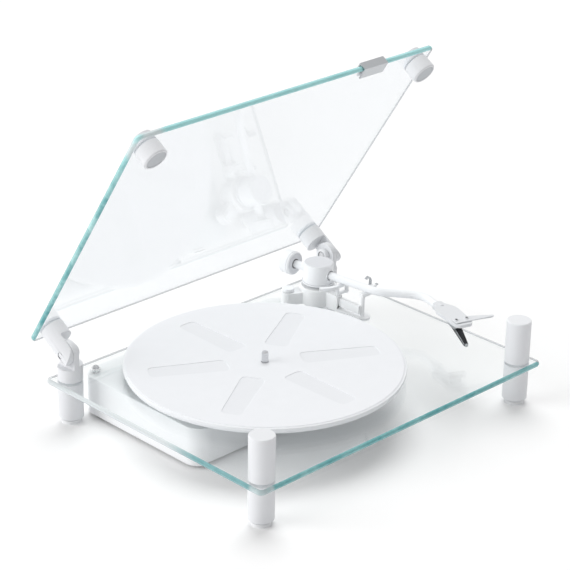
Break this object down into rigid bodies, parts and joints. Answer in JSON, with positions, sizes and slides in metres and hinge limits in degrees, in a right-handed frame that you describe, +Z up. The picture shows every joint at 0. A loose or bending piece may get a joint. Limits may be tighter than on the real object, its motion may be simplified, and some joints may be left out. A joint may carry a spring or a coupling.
{
  "type": "turntable",
  "caption": "Manual record player with a clear glass plinth on round posts, a belt-driven platter, an S-shaped tonearm and a hinged clear glass lid standing open.",
  "frame": {"origin": "middle of the whole outline, on the table under the feet", "axes": "+X to the right, +Y to the back where the lid is hinged, +Z up"},
  "size_m": [0.418, 0.3512, 0.3643],
  "materials": {
    "clear_glass": "polished",
    "white_paint": "satin white",
    "white_plastic": "satin white",
    "white_mat": "matte white",
    "pale_rubber": "matte",
    "grey_aluminium": "satin",
    "steel": "turned",
    "bearing_brass": "turned",
    "black_plastic": "satin",
    "black_rubber": "matte",
    "board_green": "lacquered board"
  },
  "bodies": {
    "chassis": {"plinth_glass": "clear_glass", "foot_front_left": "pale_rubber", "foot_front_right": "pale_rubber", "foot_back_left": "pale_rubber", "foot_back_right": "pale_rubber", "lower_post_front_left": "white_paint", "lower_post_front_right": "white_paint", "lower_post_back_left": "white_paint", "lower_post_back_right": "white_paint", "front_post_left": "white_paint", "front_post_right": "white_paint", "hinge_post_left": "white_paint", "hinge_post_right": "white_paint", "hinge_screw_left": "white_paint", "hinge_screw_right": "white_paint", "drive_box": "white_plastic", "box_cover": "white_plastic", "circuit_board": "board_green", "motor": "steel", "drive_belt": "black_rubber", "bearing_housing": "bearing_brass", "power_inlet": "black_plastic", "phono_jacks": "steel", "button_collar": "grey_aluminium", "start_switch": "black_plastic", "arm_base": "white_paint", "arm_rest": "white_paint", "arm_nut": "steel", "arm_pillar": "steel"},
    "lid": {"lid_glass": "clear_glass", "lid_knuckle_left": "white_paint", "lid_knuckle_right": "white_paint", "lid_stub_left": "white_paint", "lid_stub_right": "white_paint", "lid_cap_back_left": "white_paint", "lid_cap_back_right": "white_paint", "lid_cap_front_left": "white_paint", "lid_cap_front_right": "white_paint", "lid_pad_left": "pale_rubber", "lid_pad_right": "pale_rubber", "lid_handle": "grey_aluminium"},
    "turning_platter": {"spindle": "steel", "platter": "white_paint", "platter_mat": "white_mat", "drive_wheel": "black_plastic"},
    "motor_rotor": {"motor_pulley": "bearing_brass"},
    "arm_yoke": {"arm_housing": "white_paint", "arm_axle": "steel"},
    "arm": {"arm_tube": "white_paint", "headshell": "white_paint", "finger_lift": "white_paint", "cartridge": "grey_aluminium", "stylus": "black_plastic"},
    "weight": {"counterweight": "white_paint"},
    "dial": {"force_dial": "white_plastic"},
    "lift": {"cue_lift": "white_paint"},
    "lever": {"cue_lever": "white_paint"},
    "clip": {"arm_clip": "grey_aluminium"},
    "skate_knob": {"anti_skate_knob": "white_plastic"},
    "button": {"start_button": "steel"}
  },
  "joints": [
    {"name": "lid_hinge", "type": "hinge", "parent": "chassis", "child": "lid", "pos_m": [0, 0.13227, 0.08], "axis": [-1, 0, 0], "range_deg": [-57.8, 12]},
    {"name": "platter_spin", "type": "hinge", "parent": "chassis", "child": "turning_platter", "pos_m": [-0.0298, 0.00507, 0.0575], "axis": [0, 0, 1], "continuous": true},
    {"name": "motor_spin", "type": "hinge", "parent": "chassis", "child": "motor_rotor", "pos_m": [-0.099, 0.08637, 0.027], "axis": [0, 0, 1], "continuous": true},
    {"name": "arm_swing", "type": "hinge", "parent": "chassis", "child": "arm_yoke", "pos_m": [0.142, 0.09687, 0.084], "axis": [0, 0, -1], "range_deg": [0, 48.5]},
    {"name": "arm_lift", "type": "hinge", "parent": "arm_yoke", "child": "arm", "pos_m": [0.142, 0.09687, 0.084], "axis": [-0.994, -0.1097, 0], "range_deg": [0, 3.5]},
    {"name": "weight_slide", "type": "slide", "parent": "arm", "child": "weight", "axis": [-0.1097, 0.994, 0], "range_m": [-0.004, 0]},
    {"name": "dial_turn", "type": "hinge", "parent": "weight", "child": "dial", "pos_m": [0.13816, 0.13168, 0.084], "axis": [-0.1097, 0.994, 0], "continuous": true},
    {"name": "lift_slide", "type": "slide", "parent": "chassis", "child": "lift", "axis": [0, 0, 1], "range_m": [0, 0.0021]},
    {"name": "lever_turn", "type": "hinge", "parent": "chassis", "child": "lever", "pos_m": [0.1428, 0.07137, 0.063], "axis": [-1, 0, 0], "range_deg": [0, 60]},
    {"name": "clip_turn", "type": "hinge", "parent": "chassis", "child": "clip", "pos_m": [0.1608, 0.03397, 0.0825], "axis": [0, 1, 0], "range_deg": [0, 75]},
    {"name": "anti_skate_turn", "type": "hinge", "parent": "chassis", "child": "skate_knob", "pos_m": [0.113, 0.11537, 0.065], "axis": [0, 0, 1], "range_deg": [0, 270]},
    {"name": "start_press", "type": "slide", "parent": "chassis", "child": "button", "axis": [0, 0, -1], "range_m": [0, 0.0012], "stiffness_N_per_m": 400}
  ],
  "couplings": [
    {"joint": "motor_spin", "follows": "platter_spin", "ratio": 7},
    {"joint": "lift_slide", "follows": "arm_lift", "m_per_rad": 0.034},
    {"joint": "lever_turn", "follows": "arm_lift", "ratio": 17.143}
  ]
}
